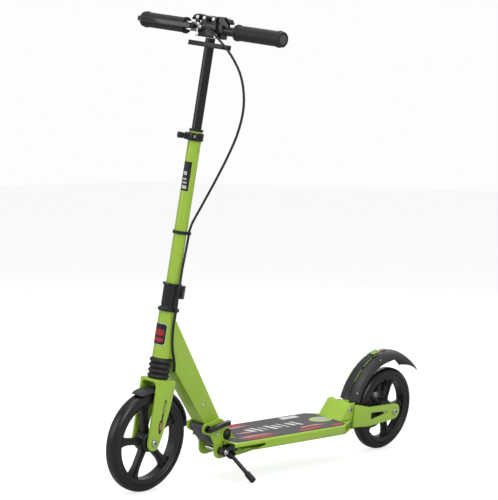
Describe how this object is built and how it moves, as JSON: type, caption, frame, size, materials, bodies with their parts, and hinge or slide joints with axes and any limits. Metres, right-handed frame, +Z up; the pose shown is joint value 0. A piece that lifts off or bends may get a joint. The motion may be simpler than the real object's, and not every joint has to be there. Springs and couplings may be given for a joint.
{
  "type": "kick_scooter",
  "caption": "Folding kick scooter in lime green with two large wheels, sprung fork, hand brake, folding handles, rear fender brake and a kickstand",
  "frame": {"origin": "On the ground under the middle of the bounding box, with the scooter standing on both tyres and its kickstand foot, leaning to its left.", "axes": "+X is forwards, +Y is to the rider's left and +Z is up."},
  "size_m": [0.9339, 0.3604, 0.9296],
  "materials": {
    "green": "semi-gloss lime green powder coat",
    "black_metal": "satin black paint",
    "black_plastic": "moulded black nylon",
    "rubber": "matt black rubber",
    "tyre": "solid polyurethane tyre, slightly glossy",
    "steel": "zinc-plated steel",
    "grip_tape": "printed non-slip sheet",
    "grey_plastic": "ribbed dark grey plastic"
  },
  "bodies": {
    "base": {"deck": "green", "deck_grip": "grip_tape", "fold_cheek_left": "green", "fold_cheek_right": "green", "fold_pivot_bolt": "steel", "fold_clamp_shaft": "black_metal", "kickstand_bracket": "black_metal", "kickstand_bolt": "steel", "rear_bracket": "green", "rear_fork_left": "green", "rear_fork_right": "green", "rear_axle": "steel", "brake_caliper": "black_metal", "fender_hinge_bolt": "steel", "brake_cable_deck": "rubber"},
    "clamp_lever": {"fold_lever": "black_metal"},
    "pedal": {"release_pedal": "grey_plastic"},
    "kickstand": {"kickstand_leg": "black_metal", "kickstand_foot": "rubber"},
    "fender_brake": {"rear_fender": "black_plastic", "rear_fender_plate": "green"},
    "rear_wheel": {"rear_tyre": "tyre", "rear_rim": "black_plastic", "rear_bearing_left": "steel", "rear_bearing_right": "steel", "brake_rotor": "steel"},
    "disc_arm": {"caliper_arm": "steel"},
    "front_section": {"front_frame": "green", "headset_bearing": "steel", "brake_cable_frame": "rubber"},
    "column": {"steering_tube": "green", "headset_clamp": "black_metal", "cable_ring_clip": "black_plastic", "collar_bushing": "black_plastic", "collar_clamp": "black_metal", "brake_cable_lower": "rubber"},
    "height_lever": {"collar_lever": "black_metal"},
    "fork_slider": {"fork": "green", "front_fender": "black_plastic", "bellows": "rubber", "suspension_spring": "steel", "front_axle": "steel"},
    "front_wheel": {"front_tyre": "tyre", "front_rim": "black_plastic", "front_bearing_left": "steel", "front_bearing_right": "steel"},
    "handlebar": {"inner_tube": "black_metal", "bar_head": "black_metal", "handle_pin_left": "steel", "handle_pin_right": "steel", "grip_holder": "black_plastic", "lever_bracket": "steel", "brake_cable_upper": "rubber"},
    "bar_left": {"handle_left": "black_metal", "grip_left": "rubber"},
    "bar_right": {"handle_right": "black_metal", "grip_right": "rubber"},
    "catch_left": {"latch_left": "black_metal"},
    "catch_right": {"latch_right": "black_metal"},
    "hand_lever": {"brake_lever": "black_metal"}
  },
  "joints": [
    {"name": "column_fold", "type": "hinge", "parent": "base", "child": "front_section", "pos_m": [0.15502, -0.10882, 0.09451], "axis": [0, -0.9908, 0.1355], "range_deg": [0, 88]},
    {"name": "clamp_lever_turn", "type": "hinge", "parent": "base", "child": "clamp_lever", "pos_m": [0.21702, -0.07471, 0.10701], "axis": [-0.1908, -0.133, -0.9726], "range_deg": [0, 95]},
    {"name": "pedal_press", "type": "hinge", "parent": "base", "child": "pedal", "pos_m": [0.21702, -0.10652, 0.11136], "axis": [0, -0.9908, 0.1355], "range_deg": [0, 10], "stiffness_Nm_per_rad": 0.5, "springref_deg": -11.46},
    {"name": "kickstand_swing", "type": "hinge", "parent": "base", "child": "kickstand", "pos_m": [0.15402, -0.07739, 0.05126], "axis": [0, 0.6127, 0.7903], "range_deg": [0, 85]},
    {"name": "fender_press", "type": "hinge", "parent": "base", "child": "fender_brake", "pos_m": [-0.22898, -0.1072, 0.1064], "axis": [0, -0.9908, 0.1355], "range_deg": [0, 2.6], "stiffness_Nm_per_rad": 14, "springref_deg": -2.86},
    {"name": "rear_wheel_spin", "type": "hinge", "parent": "base", "child": "rear_wheel", "pos_m": [-0.37698, -0.1095, 0.08956], "axis": [0, 0.9908, -0.1355], "continuous": true},
    {"name": "disc_arm_pull", "type": "hinge", "parent": "base", "child": "disc_arm", "pos_m": [-0.38098, -0.13894, 0.14001], "axis": [0, 0.9908, -0.1355], "range_deg": [0, 15]},
    {"name": "steering", "type": "hinge", "parent": "front_section", "child": "column", "pos_m": [0.34287, -0.08042, 0.30229], "axis": [-0.0819, 0.135, 0.9875], "range_deg": [-55, 55], "deforming": ["brake_cable_lower"]},
    {"name": "height_lever_turn", "type": "hinge", "parent": "column", "child": "height_lever", "pos_m": [0.33452, -0.03859, 0.68932], "axis": [0.4212, 0.9026, -0.0885], "range_deg": [0, 80]},
    {"name": "front_suspension", "type": "slide", "parent": "column", "child": "fork_slider", "axis": [-0.0819, 0.135, 0.9875], "range_m": [0, 0.012], "stiffness_N_per_m": 15000, "springref_m": -0.003, "deforming": ["bellows", "suspension_spring"]},
    {"name": "front_wheel_spin", "type": "hinge", "parent": "fork_slider", "child": "front_wheel", "pos_m": [0.36702, -0.10814, 0.09947], "axis": [0, 0.9908, -0.1355], "continuous": true},
    {"name": "bar_height", "type": "slide", "parent": "column", "child": "handlebar", "axis": [-0.0819, 0.135, 0.9875], "range_m": [-0.15, 0.03], "deforming": ["brake_cable_upper"]},
    {"name": "fold_handle_left", "type": "hinge", "parent": "handlebar", "child": "bar_left", "pos_m": [0.29504, 0.02216, 0.87542], "axis": [-0.9966, -0.0111, -0.0812], "range_deg": [0, 90]},
    {"name": "fold_handle_right", "type": "hinge", "parent": "handlebar", "child": "bar_right", "pos_m": [0.29504, -0.02539, 0.88192], "axis": [0.9966, 0.0111, 0.0812], "range_deg": [0, 90]},
    {"name": "catch_left_lift", "type": "hinge", "parent": "handlebar", "child": "catch_left", "pos_m": [0.2925, 0.01446, 0.90765], "axis": [0.9966, 0.0111, 0.0812], "range_deg": [0, 100]},
    {"name": "catch_right_lift", "type": "hinge", "parent": "handlebar", "child": "catch_right", "pos_m": [0.2925, -0.00932, 0.9109], "axis": [-0.9966, -0.0111, -0.0812], "range_deg": [0, 100]},
    {"name": "hand_lever_pull", "type": "hinge", "parent": "handlebar", "child": "hand_lever", "pos_m": [0.32146, -0.02941, 0.89681], "axis": [0.0819, -0.135, -0.9875], "range_deg": [0, 5], "stiffness_Nm_per_rad": 1.5, "springref_deg": -4.58}
  ],
  "couplings": [
    {"joint": "disc_arm_pull", "follows": "hand_lever_pull", "ratio": 3}
  ]
}
